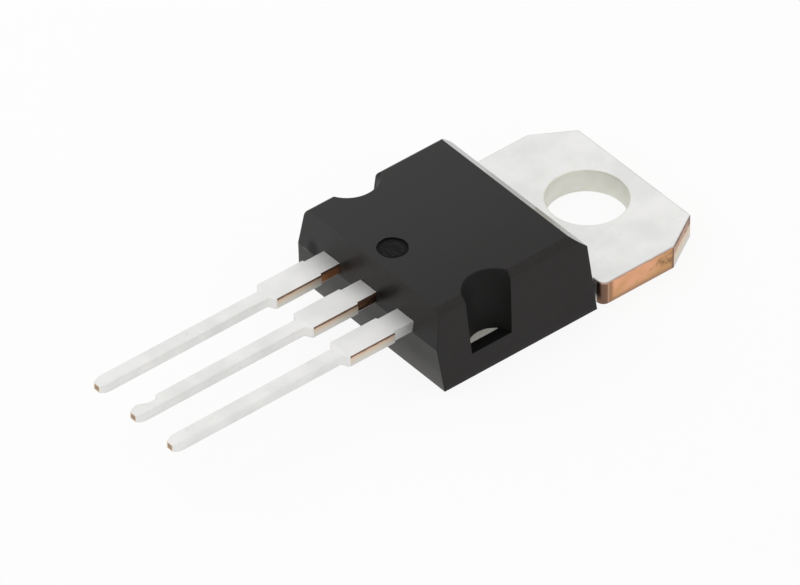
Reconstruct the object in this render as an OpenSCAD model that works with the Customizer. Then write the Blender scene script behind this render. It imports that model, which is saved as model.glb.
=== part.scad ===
// Through-hole power transistor in a flat three-lead package with a metal mounting tab.
// Origin: centre of the mounting hole on the back face. +Y to the tab's free end, the leads point
// to -Y, +Z to the front of the moulded body. Millimetres.

/* [Package] */
// Width of the tab and of the body's back edge, which are flush
package_w = 10.12; // [9.9:0.02:10.6]

/* [Metal tab] */
// Thickness of the tab and of the heat spreader that it becomes inside the body
tab_t = 1.25; // [1.1:0.01:1.4]
// Diameter of the mounting hole
hole_d = 3.8; // [3.2:0.05:4.2]
// Hole centre to the tab's free end
hole_to_end = 2.78; // [2.6:0.02:3.2]
// Gap between the tab's shoulders and the body
shoulder_gap = 0.28; // [0.15:0.01:0.4]
// Length of the corner chamfers along the tab's free end
chamfer_across = 1.2; // [0.4:0.1:2]
// Length of the corner chamfers along the tab's sides
chamfer_along = 2; // [0.5:0.1:2.4]
// Corner radius of the shoulders
shoulder_r = 0.35; // [0.1:0.05:0.6]

/* [Heat spreader inside the body] */
// Moulding on either side of the neck and of the spreader
side_cover = 0.7; // [0.6:0.02:1]
// Moulding between the spreader's inner end and the lead end
end_cover = 1.9; // [1.7:0.05:2.2]
// Depth of the moulding lock, a coined step under the spreader's edges
lock_in = 0.5; // [0.1:0.05:0.6]
// Height of the moulding lock above the back face
lock_h = 0.55; // [0.3:0.05:0.8]

/* [Moulded body] */
// Hole centre to the body's rear face, at the back face
hole_to_body = 3.68; // [3.6:0.02:3.9]
// Length of the body at the back face
body_l = 8.82; // [8.7:0.02:9.2]
// Height of the body's front above the back face
body_h = 4.4; // [4.3:0.05:4.8]
// Draft of the two sides, in degrees
side_draft = 5.7; // [2:0.1:7]
// Draft of the rear face, in degrees
rear_draft = 5.1; // [2:0.1:7]
// Draft of the lead end above the leads, in degrees
front_draft = 7.5; // [2:0.5:10]
// Draft of the lead end below the leads, in degrees
lower_front_draft = 6.2; // [2:0.1:8]
// Rear top chamfer, measured down the rear face
rear_chamfer_down = 0.8; // [0.3:0.05:1]
// Rear top chamfer, measured along the front face
rear_chamfer_along = 0.83; // [0.3:0.01:1]
// Side bevels, measured down the sides
bevel_down = 0.45; // [0.2:0.05:0.6]
// Side bevels, measured across the front face
bevel_across = 0.35; // [0.1:0.05:0.5]

/* [Clamping notches and pin mark] */
// Middle of the two side notches to the lead end
notch_to_end = 2.8; // [2.5:0.05:3.2]
// Radius of the notches at their floor
notch_floor_r = 1.16; // [0.8:0.02:1.2]
// Radius of the notches under their flared rim
notch_rim_r = 1.36; // [1.2:0.02:1.4]
// Radius of the flared rim on the front face
notch_flare_r = 1.56; // [1.4:0.02:1.8]
// How far the notches' axes stand outside the body's back edge
notch_out = 0.06; // [0:0.02:0.2]
// Diameter of the ejector pin's mark
pin_mark_d = 1.44; // [1:0.02:1.8]
// Depth of the ejector pin's mark
pin_mark_deep = 0.08; // [0.04:0.01:0.15]
// Pin mark's centre to the lead end
pin_mark_to_end = 1.2; // [1:0.05:1.6]

/* [Leads] */
// Spacing of the leads
pitch = 2.54; // [2.4:0.02:2.7]
// Thickness of the leads
lead_t = 0.57; // [0.48:0.01:0.6]
// Height of the leads' underside, and of the mould's parting line, above the back face
lead_floor = 2.37; // [2.3:0.01:2.6]
// Width of the leads beside the body
stub_w = 1.16; // [1:0.02:1.2]
// Length of that stub outside the body
stub_l = 1.05; // [0.8:0.05:1.4]
// Width across the sheared tie-bar remains
tie_w = 1.36; // [1.2:0.02:1.4]
// Length of the sheared tie-bar remains
tie_l = 2.55; // [2:0.05:3]
// Length of the step down to the narrow lead
step_l = 0.2; // [0.1:0.05:0.4]
// Width of the narrow lead
lead_w = 0.7; // [0.6:0.02:0.8]
// Length of a lead outside the body
lead_l = 13.24; // [10:0.02:14]
// Length of the coined taper at a tip
tip_l = 0.5; // [0.2:0.05:1]
// Width of a tip's end face
tip_w = 0.36; // [0.2:0.02:0.5]
// Thickness of a tip's end face
tip_t = 0.3; // [0.2:0.02:0.45]
// Length of the nick at the middle lead's tip
nick_l = 1.5; // [0.8:0.1:3]
// Depth of that nick
nick_deep = 0.26; // [0.1:0.02:0.3]

/* [Bends and bond posts inside the body] */
// Slope of the ramp from the spreader up to the middle lead, in degrees
ramp_angle = 60; // [50:1:75]
// Middle radius of the ramp's two bends
bend_r = 0.42; // [0.35:0.01:0.5]
// Straight run from the spreader to the first bend
ramp_start = 0.08; // [0.05:0.01:0.15]
// Width of the gate's bond post
gate_post_w = 2; // [1.6:0.1:2.2]
// Width of the source's bond post
source_post_w = 2.6; // [2:0.1:2.6]
// Length of the bond posts
post_l = 1.15; // [0.9:0.05:1.2]
// Moulding between the lead end and the bond posts
post_wall = 0.7; // [0.6:0.05:0.8]

/* [Die and bond wires] */
// Width of the die, across the package
die_w = 5; // [3:0.1:5.4]
// Length of the die, along the package
die_l = 4.4; // [3:0.1:4.6]
// Thickness of the die
die_t = 0.28; // [0.2:0.01:0.35]
// Thickness of the solder under the die
solder_t = 0.05; // [0.03:0.01:0.1]
// How far the solder reaches past the die
solder_lip = 0.15; // [0.05:0.05:0.25]
// Diameter of the source's two aluminium wires
source_wire_d = 0.38; // [0.25:0.01:0.45]
// Diameter of the gate's wire
gate_wire_d = 0.18; // [0.12:0.01:0.25]
// Spacing of the source's wires
source_wire_gap = 1; // [0.8:0.05:1.2]
// Length of a wire's flattened foot
foot_l = 0.6; // [0.4:0.05:0.8]
// Height of the wires' crown, as a share of the moulding above the leads
crown_share = 0.52; // [0.4:0.02:0.6]

/* [Hidden] */
$fn = 96;
// Sides of a wire's round section
wire_fn = 32;
// Margin by which a cutter passes the faces that it cuts
past = 1;

tab_w = package_w;
body_w = package_w;
spreader_w = package_w - 2 * side_cover;
hole_to_shoulder = hole_to_body - shoulder_gap;
hole_to_lead_end = hole_to_body + body_l;
hole_to_spreader_end = hole_to_lead_end - end_cover;
hole_to_notch = hole_to_lead_end - notch_to_end;
hole_to_pin_mark = hole_to_lead_end - pin_mark_to_end;

body_rear = -hole_to_body;
body_front_back = -hole_to_lead_end;
body_front_parting = body_front_back - lead_floor * tan(lower_front_draft);
body_front_top = body_front_parting + (body_h - lead_floor) * tan(front_draft);
chamfer_z = body_h - rear_chamfer_down;
chamfer_y = body_rear - chamfer_z * tan(rear_draft);
bevel_z = body_h - bevel_down;
bevel_x = body_w / 2 - bevel_z * tan(side_draft);

lead_top = lead_floor + lead_t;
tip_y = body_front_parting - lead_l;
tie_start = body_front_parting - stub_l;
tie_end = tie_start - tie_l;
post_front = body_front_parting + post_wall;
post_back = post_front + post_l;

// The ramp's straight length follows from its rise, its slope and its bends
ramp_rise = lead_top - tab_t;
ramp_l = (ramp_rise - 2 * bend_r * (1 - cos(ramp_angle))) / sin(ramp_angle);
ramp_foot = hole_to_spreader_end + ramp_start;
ramp_head = ramp_foot + 2 * bend_r * sin(ramp_angle) + ramp_l * cos(ramp_angle);

die_top = tab_t + solder_t + die_t;
// The die sits in the middle of the spreader's length inside the body
die_y = -(hole_to_body + hole_to_spreader_end) / 2;
crown_z = lead_top + crown_share * (body_h - lead_top);
// Height and width of a wire's flattened foot, as shares of the wire's diameter
foot_high = 0.7;
foot_wide = 1.4;
// Flat facets in a bend of the strip, and the depth to which a wire's loop is cut off in its bonds
bend_steps = 12;
lap = 0.02;

metal = "#d9d7d3";
silicon = "#6f7680";
solder = "#a9abae";
wire_metal = "#c9cacb";
moulding = "#343334";

// Mirrors a half outline, listed from one end to the other, into a closed symmetric one
function both_sides(half) =
    concat(half, [for (i = [len(half) - 1:-1:0]) [-half[i].x, half[i].y]]);

// Extrudes a [y, z] profile across the package, centred on x = 0
module across(width) {
    rotate([90, 0, 90])
        linear_extrude(height = width, center = true) children();
}

// Extrudes an [x, z] profile along the package, from y = 0 to -length
module along(length) {
    rotate([90, 0, 0])
        linear_extrude(height = length) children();
}

// Body with drafted faces: its side, end and plan outlines, extruded and intersected
module body_form() {
    side_outline = [
        [body_rear, 0],
        [chamfer_y, chamfer_z],
        [chamfer_y - rear_chamfer_along, body_h],
        [body_front_top, body_h],
        [body_front_parting, lead_floor],
        [body_front_back, 0]
    ];
    half_end = [[body_w / 2, 0], [bevel_x, bevel_z], [bevel_x - bevel_across, body_h]];
    intersection() {
        across(body_w + past) polygon(side_outline);
        along(-body_front_parting + past) polygon(both_sides(half_end));
    }
}

// Notch that a clamping pin of the mould leaves in one side: a drafted hole with a flared rim
module clamping_notch(side) {
    translate([side * (body_w / 2 + notch_out), -hole_to_notch, tab_t]) {
        cylinder(h = bevel_z - tab_t, r1 = notch_floor_r, r2 = notch_rim_r);
        translate([0, 0, bevel_z - tab_t])
            cylinder(h = bevel_down, r1 = notch_rim_r, r2 = notch_flare_r);
    }
}

// Round mark of the ejector pin on the front face
module pin_mark() {
    translate([0, -hole_to_pin_mark, body_h - pin_mark_deep])
        cylinder(h = pin_mark_deep + past, d = pin_mark_d);
}

module moulded_body() {
    color(moulding)
        difference() {
            body_form();
            for (side = [-1, 1]) clamping_notch(side);
            pin_mark();
            heat_tab();
            gate_lead();
            source_lead();
            silicon_die();
            die_solder();
            for (place = [-0.5, 0.5]) source_wire(place);
            gate_wire();
        }
}

// Plan of a lead outside the body: stub, sheared tie-bar remains, step, narrow lead, tapered tip
module lead_plan(root_y) {
    polygon(both_sides([
        [stub_w / 2, root_y],
        [stub_w / 2, tie_start],
        [tie_w / 2, tie_start],
        [tie_w / 2, tie_end],
        [lead_w / 2, tie_end - step_l],
        [lead_w / 2, tip_y + tip_l],
        [tip_w / 2, tip_y]
    ]));
}

// Side outline of a straight lead: full thickness, then the coined taper of its tip
module lead_side(root_y) {
    middle = lead_floor + lead_t / 2;
    polygon([
        [root_y, lead_floor],
        [root_y, lead_top],
        [tip_y + tip_l, lead_top],
        [tip_y, middle + tip_t / 2],
        [tip_y, middle - tip_t / 2],
        [tip_y + tip_l, lead_floor]
    ]);
}

// A lead is its plan and its side outline, extruded and intersected
module straight_lead(root_y) {
    intersection() {
        linear_extrude(height = body_h) lead_plan(root_y);
        across(tie_w + past) lead_side(root_y);
    }
}

// Widened inner end of an outer lead, on which its wires are bonded
module bond_post(post_w) {
    translate([-post_w / 2, post_front, lead_floor])
        cube([post_w, post_l, lead_t]);
}

module gate_lead() {
    color(metal)
        translate([-pitch, 0, 0]) {
            straight_lead(post_back);
            bond_post(gate_post_w);
        }
}

module source_lead() {
    color(metal)
        translate([pitch, 0, 0]) {
            straight_lead(post_back);
            bond_post(source_post_w);
        }
}

// Points of an arc about a centre, from one angle to another
function arc(centre, r, from, to) =
    [for (i = [0:bend_steps]) let(a = from + (to - from) * i / bend_steps)
        centre + r * [cos(a), sin(a)]];

// Strip of the middle lead inside the body: flat on the spreader, bent up the ramp and bent level
module ramp() {
    foot = [-ramp_foot, tab_t - lead_t / 2 + bend_r];
    head = [-ramp_head, lead_top - lead_t / 2 - bend_r];
    inner_r = bend_r - lead_t / 2;
    outer_r = bend_r + lead_t / 2;
    root_y = lead_t - hole_to_spreader_end;
    across(stub_w)
        polygon(concat(
            [[root_y, tab_t - lead_t], [root_y, tab_t]],
            arc(foot, inner_r, -90, -90 - ramp_angle),
            arc(head, outer_r, 90 - ramp_angle, 90),
            [[-ramp_head - lead_t, lead_top], [-ramp_head - lead_t, lead_floor]],
            arc(head, inner_r, 90, 90 - ramp_angle),
            arc(foot, outer_r, -90 - ramp_angle, -90)
        ));
}

// Worn nick along one side of the middle lead's tip
module tip_nick() {
    translate([-lead_w / 2, tip_y, lead_floor])
        linear_extrude(height = lead_t)
            polygon([
                [-past, nick_l],
                [nick_deep * 0.6, nick_l],
                [nick_deep, nick_l - nick_deep / 2],
                [nick_deep * 0.7, tip_l],
                [nick_deep * 0.7, -past],
                [-past, -past]
            ]);
}

// Plan of the tab outside the body, with rounded shoulders and a neck that runs into the body
module tab_plan() {
    shoulder_x = tab_w / 2 - shoulder_r;
    shoulder_y = shoulder_r - hole_to_shoulder;
    polygon(both_sides([
        [spreader_w / 2, -hole_to_body - lock_h],
        [spreader_w / 2, -hole_to_shoulder],
        [shoulder_x, -hole_to_shoulder],
        [tab_w / 2, shoulder_y],
        [tab_w / 2, hole_to_end - chamfer_along],
        [tab_w / 2 - chamfer_across, hole_to_end]
    ]));
    for (side = [-1, 1])
        translate([side * shoulder_x, shoulder_y]) circle(r = shoulder_r);
}

// Heat spreader inside the body, coined narrower at its back so that the moulding grips it
module spreader() {
    spreader_l = hole_to_spreader_end - hole_to_body;
    translate([-spreader_w / 2, -hole_to_spreader_end, lock_h])
        cube([spreader_w, spreader_l, tab_t - lock_h]);
    translate([-spreader_w / 2 + lock_in, -hole_to_spreader_end + lock_in, 0])
        cube([spreader_w - 2 * lock_in, spreader_l - lock_in, lock_h]);
}

// Tab, heat spreader and middle lead: one stamped and bent piece
module heat_tab() {
    color(metal)
        difference() {
            union() {
                linear_extrude(height = tab_t) tab_plan();
                spreader();
                ramp();
                straight_lead(-ramp_head);
            }
            translate([0, 0, -past]) cylinder(h = tab_t + 2 * past, d = hole_d);
            tip_nick();
        }
}

module die_solder() {
    color(solder)
        translate([-die_w / 2 - solder_lip, die_y - die_l / 2 - solder_lip, tab_t])
            cube([die_w + 2 * solder_lip, die_l + 2 * solder_lip, solder_t]);
}

module silicon_die() {
    color(silicon)
        translate([-die_w / 2, die_y - die_l / 2, tab_t + solder_t])
            cube([die_w, die_l, die_t]);
}

// Wedge-bonded foot: the wire's end, squashed flat on the face at z = 0, reaching to +X
module wire_foot(wire_d) {
    translate([-wire_d / 2, -wire_d * foot_wide / 2, 0])
        cube([wire_d / 2 + foot_l, wire_d * foot_wide, wire_d * foot_high]);
}

// Bond wire in one upright plane, from a bond on the die to one on a post, both given on their
// faces. Its loop is the one arc that passes both points and crowns at crown_z.
module bond_wire(from, to, wire_d) {
    span = norm([to.x - from.x, to.y - from.y]);
    die_drop = crown_z - from.z;
    post_drop = crown_z - to.z;
    share = post_drop / die_drop;
    die_run = (span - sqrt(share * (span * span + pow(die_drop - post_drop, 2)))) / (1 - share);
    loop_r = (die_run * die_run + die_drop * die_drop) / (2 * die_drop);
    post_angle = 90 - acos(1 - (post_drop + lap) / loop_r);
    die_angle = 90 + acos(1 - (die_drop + lap) / loop_r);
    color(wire_metal)
        translate([from.x, from.y, 0])
            rotate([0, 0, atan2(to.y - from.y, to.x - from.x)]) {
                difference() {
                    translate([die_run, 0, crown_z - loop_r])
                        rotate([90, 0, 0])
                            rotate([0, 0, post_angle])
                                rotate_extrude(angle = die_angle - post_angle)
                                    translate([loop_r, 0]) circle(d = wire_d, $fn = wire_fn);
                    translate([-wire_d, -past / 2, from.z - past])
                        cube([2 * wire_d, past, past]);
                    translate([span - wire_d, -past / 2, to.z - past])
                        cube([2 * wire_d, past, past]);
                }
                translate([0, 0, from.z]) mirror([1, 0, 0]) wire_foot(wire_d);
                translate([span, 0, to.z]) wire_foot(wire_d);
            }
}

// Wire of the source, placed by its share of the spacing on either side of the pair's middle
module source_wire(place) {
    aside = place * source_wire_gap;
    bond_wire(
        [die_w / 4 + aside, die_y + die_l / 8, die_top],
        [pitch + aside, post_back - post_l / 3, lead_top],
        source_wire_d
    );
}

module source_wire_1() {
    source_wire(-0.5);
}

module source_wire_2() {
    source_wire(0.5);
}

module gate_wire() {
    bond_wire(
        [-die_w / 2.6, die_y - die_l / 4, die_top],
        [-pitch, post_back - post_l / 3, lead_top],
        gate_wire_d
    );
}

moulded_body();
heat_tab();
gate_lead();
source_lead();
silicon_die();
die_solder();
source_wire_1();
source_wire_2();
gate_wire();
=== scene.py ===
import math

import bpy
import numpy as np
from mathutils import Matrix, Vector


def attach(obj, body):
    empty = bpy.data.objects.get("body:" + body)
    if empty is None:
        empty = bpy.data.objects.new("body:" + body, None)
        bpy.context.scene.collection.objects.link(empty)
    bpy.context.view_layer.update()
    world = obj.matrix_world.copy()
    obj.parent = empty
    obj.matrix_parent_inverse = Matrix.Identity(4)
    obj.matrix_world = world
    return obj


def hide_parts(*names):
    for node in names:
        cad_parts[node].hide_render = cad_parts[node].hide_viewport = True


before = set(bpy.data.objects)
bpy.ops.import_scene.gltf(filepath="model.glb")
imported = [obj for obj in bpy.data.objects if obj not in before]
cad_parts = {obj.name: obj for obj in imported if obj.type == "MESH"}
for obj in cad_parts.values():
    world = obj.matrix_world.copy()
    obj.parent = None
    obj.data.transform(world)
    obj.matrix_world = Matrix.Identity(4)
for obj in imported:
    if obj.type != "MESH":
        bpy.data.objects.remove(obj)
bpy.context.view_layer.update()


# The view of the photograph: a long lens, so nearly parallel lines of sight, from above the lead
# tips and to the right of the package. All lengths in this file are written in millimetres and
# multiplied by MM, because Blender's are metres.
MM = 0.001
VIEW_AZIMUTH, VIEW_ELEVATION, VIEW_ROLL = np.radians((50.2568, 40.3967, 0.0446))
VIEW_TARGET = Vector((-1.4214, -9.6898, 0)) * MM
VIEW_DISTANCE = 558.88 * MM
VIEW_LENS, SENSOR_WIDTH = 565.96, 36
CLIP_NEAR, CLIP_FAR = 10 * MM, 10000 * MM

toward_camera = Vector((
    math.sin(VIEW_AZIMUTH) * math.cos(VIEW_ELEVATION),
    -math.cos(VIEW_AZIMUTH) * math.cos(VIEW_ELEVATION),
    math.sin(VIEW_ELEVATION),
))
level_right = Vector((math.cos(VIEW_AZIMUTH), math.sin(VIEW_AZIMUTH), 0))
level_up = toward_camera.cross(level_right)
camera_right = level_right * math.cos(VIEW_ROLL) + level_up * math.sin(VIEW_ROLL)
camera_up = level_up * math.cos(VIEW_ROLL) - level_right * math.sin(VIEW_ROLL)

camera = bpy.data.objects.new("camera", bpy.data.cameras.new("camera"))
camera.data.lens = VIEW_LENS
camera.data.sensor_width = SENSOR_WIDTH
camera.data.clip_start, camera.data.clip_end = CLIP_NEAR, CLIP_FAR
camera.matrix_world = Matrix.Translation(VIEW_TARGET + toward_camera * VIEW_DISTANCE) @ Matrix(
    (camera_right, camera_up, toward_camera)).transposed().to_4x4()
bpy.context.scene.collection.objects.link(camera)
bpy.context.scene.camera = camera
bpy.context.scene.view_settings.view_transform = "Standard"


# The studio: a white floor, a white surround, and one large soft lamp that isn't mirrored, high up
# to the left of the leads. Floor and surround show as plain white to the camera and in the metal,
# and a share of the floor is matte and takes the part's shadow.
WHITE, FLOOR_WHITE = (1, 1, 1, 1), (0.92, 0.92, 0.91, 1)
FLOOR_HALF = 3000 * MM
FLOOR_GAP = 0.02 * MM
FLOOR_MATTE_SHARE = 0.11
SURROUND_LIGHT = 0.75
LAMP_FROM, LAMP_AT = Vector((-110, -70, 130)) * MM, Vector((0, -10, 2)) * MM
LAMP_SIZE, LAMP_POWER = 200 * MM, 0.10


def node_maker(tree):
    """Gives a function that adds a node to a tree, from its type, plain settings and sockets.

    A socket is named, or numbered as i0, i1 and so on. It gets a value, or the output of another
    node to be linked to it.
    """
    def add(kind, settings=None, **sockets):
        node = tree.nodes.new("ShaderNode" + kind)
        for key, value in (settings or {}).items():
            setattr(node, key, value)
        for key, value in sockets.items():
            socket = node.inputs[int(key[1:]) if key[0] == "i" and key[1:].isdigit() else key]
            if isinstance(value, bpy.types.NodeSocket):
                tree.links.new(value, socket)
            else:
                socket.default_value = value
        return node

    return add


def shown_ray(add):
    """1 for a ray from the camera, from a glossy surface or through glass, and 0 for the rest."""
    path = add("LightPath").outputs
    shown = path["Is Camera Ray"]
    for other in ("Is Glossy Ray", "Is Transmission Ray"):
        shown = add("Math", {"operation": "MAXIMUM"}, i0=shown, i1=path[other]).outputs[0]
    return shown


def white_floor():
    """Matte white, mixed for shown rays with plain white light of strength 1."""
    material = bpy.data.materials.new("white_floor")
    material.use_nodes = True
    material.node_tree.nodes.clear()
    add = node_maker(material.node_tree)
    matte = add("BsdfDiffuse", Color=FLOOR_WHITE).outputs[0]
    glow = add("Emission", Color=WHITE, Strength=1).outputs[0]
    share = add("Math", {"operation": "MULTIPLY"},
                i0=shown_ray(add), i1=1 - FLOOR_MATTE_SHARE).outputs[0]
    add("OutputMaterial", Surface=add("MixShader", i0=share, i1=matte, i2=glow).outputs[0])
    return material


floor_corners = np.array([(-1, -1, 0), (1, -1, 0), (1, 1, 0), (-1, 1, 0)]) * FLOOR_HALF
floor_mesh = bpy.data.meshes.new("floor")
floor_mesh.from_pydata((floor_corners - (0, 0, FLOOR_GAP)).tolist(), [], [(0, 1, 2, 3)])
floor_mesh.materials.append(white_floor())
floor = bpy.data.objects.new("floor", floor_mesh)
bpy.context.scene.collection.objects.link(floor)

surround = bpy.data.worlds.new("surround")
bpy.context.scene.world = surround
surround.use_nodes = True
background = surround.node_tree.nodes["Background"]
background.inputs["Color"].default_value = WHITE
add_to_world = node_maker(surround.node_tree)
strength = add_to_world("MapRange", Value=shown_ray(add_to_world),
                        **{"To Min": SURROUND_LIGHT, "To Max": 1})
surround.node_tree.links.new(strength.outputs[0], background.inputs["Strength"])

lamp = bpy.data.objects.new("lamp", bpy.data.lights.new("lamp", "AREA"))
lamp.data.shape = "DISK"
lamp.data.size = LAMP_SIZE
lamp.data.energy = LAMP_POWER
lamp.visible_glossy = False
lamp.location = LAMP_FROM
lamp.rotation_euler = (LAMP_FROM - LAMP_AT).to_track_quat("Z", "Y").to_euler()
bpy.context.scene.collection.objects.link(lamp)


# Tin plating: the whole lead frame is copper strip with a few micrometres of matte tin on it.
# Satin silver, very slightly warm, with faint clouding and the fine drag marks of handling. It is
# duller in the hole, and painted darker on its rolled edges: a painted shade along them.
TIN_COLOUR, TIN_CLOUD = (0.86, 0.855, 0.84, 1), (0.79, 0.79, 0.775, 1)
DULL_TIN, DULL_TIN_CLOUD = (0.80, 0.80, 0.73, 1), (0.74, 0.74, 0.67, 1)
EDGE_SHADE_TIN, EDGE_SHADE_TIN_CLOUD = (0.66, 0.655, 0.65, 1), (0.57, 0.565, 0.56, 1)
TIN_SCUFF, TIN_SPECK = (0.81, 0.81, 0.80, 1), (0.66, 0.65, 0.64, 1)


def surface_material(name, shader_values):
    """A Principled material, its shader with constants on the sockets, and its maker of nodes."""
    material = bpy.data.materials.new(name)
    material.use_nodes = True
    shader = material.node_tree.nodes["Principled BSDF"]
    for socket, value in shader_values.items():
        shader.inputs[socket].default_value = value
    return material, shader, node_maker(material.node_tree)


def noise(add, size, detail=2.0, roughness=0.5, stretch=(1, 1, 1)):
    """Noise on Object coordinates whose blotches are about size millimetres across.

    A stretch below 1 draws them out along that axis.
    """
    place = add("TexCoord").outputs["Object"]
    stretched = add("Mapping", Vector=place, Scale=stretch).outputs[0]
    return add("TexNoise", Vector=stretched, Scale=1 / (size * MM), Detail=detail,
               Roughness=roughness).outputs["Fac"]


def blend_colours(add, factor, first, second, low=0, high=1):
    """First colour where the factor is below low, second above high, and a mix between."""
    share = add("MapRange", {"interpolation_type": "SMOOTHSTEP"}, Value=factor,
                **{"From Min": low, "From Max": high}).outputs[0]
    return add("Mix", {"data_type": "RGBA"}, Factor=share, i6=first, i7=second).outputs[2]


def lay_on(shader, add, colour, roughness=None, relief=None):
    """Links a colour, a roughness and a relief to the shader.

    Roughness is a factor with its least and its most, and relief is a height with its strength
    and its depth in millimetres.
    """
    links = shader.id_data.links
    links.new(colour, shader.inputs["Base Color"])
    if roughness:
        factor, least, most = roughness
        spread = add("MapRange", Value=factor, **{"To Min": least, "To Max": most})
        links.new(spread.outputs[0], shader.inputs["Roughness"])
    if relief:
        height, strength, depth = relief
        bump = add("Bump", Height=height, Strength=strength, Distance=depth * MM)
        links.new(bump.outputs[0], shader.inputs["Normal"])


def tin_plating(name, bright, cloud):
    """Clouded satin tin: noise mixes two greys, and finer noise moves roughness and relief.

    Long noise thresholded high draws faint drag marks, and small noise a few dull specks.
    """
    material, shader, add = surface_material(name, {"Metallic": 0.9, "IOR": 1.5})
    clouds = noise(add, size=1.6, detail=4)
    colour = blend_colours(add, clouds, bright, cloud, low=0.35, high=0.7)
    drags = noise(add, size=0.22, stretch=(1, 0.12, 1))
    colour = blend_colours(add, drags, colour, TIN_SCUFF, low=0.66, high=0.74)
    specks = noise(add, size=0.20, detail=1)
    colour = blend_colours(add, specks, colour, TIN_SPECK, low=0.76, high=0.80)
    smears = noise(add, size=0.5, detail=5, stretch=(1, 0.35, 1))
    grain = noise(add, size=0.07, detail=3, roughness=0.6)
    lay_on(shader, add, colour, roughness=(smears, 0.45, 0.63), relief=(grain, 0.25, 0.004))
    return material


tin = tin_plating("tin_plating", TIN_COLOUR, TIN_CLOUD)
dull_tin = tin_plating("dull_tin", DULL_TIN, DULL_TIN_CLOUD)
# The rolled edges' tin is a darker copy: a painted shade along the edges.
edge_shade_tin = tin_plating("edge_shade_tin", EDGE_SHADE_TIN, EDGE_SHADE_TIN_CLOUD)


# Cut copper: where the frame was sheared after plating, the bare metal shows. Each cut has a
# smeared, nearly plated foot, a bright copper face and a dark burr along its upper edge.
COPPER_BRIGHT, COPPER_DULL = (0.80, 0.41, 0.25, 1), (0.60, 0.34, 0.145, 1)
# The burr colour also paints the shade over the tab's shoulder, and the darker bands at the
# chamfer's ends.
COPPER_STAIN, COPPER_BURR_AND_SHADE = (0.30, 0.16, 0.08, 1), (0.20, 0.115, 0.08, 1)
COPPER_FOOT, SOFT_BURR = (0.44, 0.26, 0.155, 1), (0.50, 0.325, 0.25, 1)
SMEAR_BEIGE, SMEAR_GREY = (0.75, 0.61, 0.46, 1), (0.69, 0.665, 0.615, 1)
CHAMFER_BRIGHT, CHAMFER_DULL = (0.70, 0.45, 0.34, 1), (0.56, 0.36, 0.26, 1)
CUT_BROWN, CUT_TAN = (0.36, 0.25, 0.185, 1), (0.46, 0.34, 0.25, 1)
CUT_BEIGE = (0.78, 0.68, 0.53, 1)
TIE_BRIGHT, TIE_DULL = (0.66, 0.47, 0.38, 1), (0.50, 0.34, 0.27, 1)
STUB_BRIGHT, STUB_DULL = (0.62, 0.28, 0.13, 1), (0.32, 0.14, 0.065, 1)
# Near-black copper: painted shade on the middle lead's stub sides and on the neck's walls.
COPPER_SHADE_BRIGHT, COPPER_SHADE_DULL = (0.10, 0.045, 0.03, 1), (0.03, 0.016, 0.012, 1)
STREAK_LIGHT, STREAK_DARK = (0.48, 0.30, 0.22, 1), (0.39, 0.215, 0.115, 1)
# From one Y to the other, handling adds up to a share to the noise. A stain starts and is full
# where the noise passes these limits less the cut's own value for stains.
HANDLED_FROM, HANDLED_TO, HANDLED_SHARE = -1.8, 0.6, 0.20
STAIN_LEAST, STAIN_MOST = 0.93, 1.15
# Shares of a cut's height: how far below the smear's end it is fully grey and fully beige, how soft
# the smear's and the burr's limits are, and how far they waver.
SMEAR_GREYEST, SMEAR_LIGHTEST, SMEAR_SOFT, BURR_SOFT, WAVER = 0.55, 0.05, 0.07, 0.05, 0.11
# Heights so far apart that no foot shows, and a share that leaves out smear or burr.
ANY_HEIGHT, NO_SHARE = (-1000, 1000), -1


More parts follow.
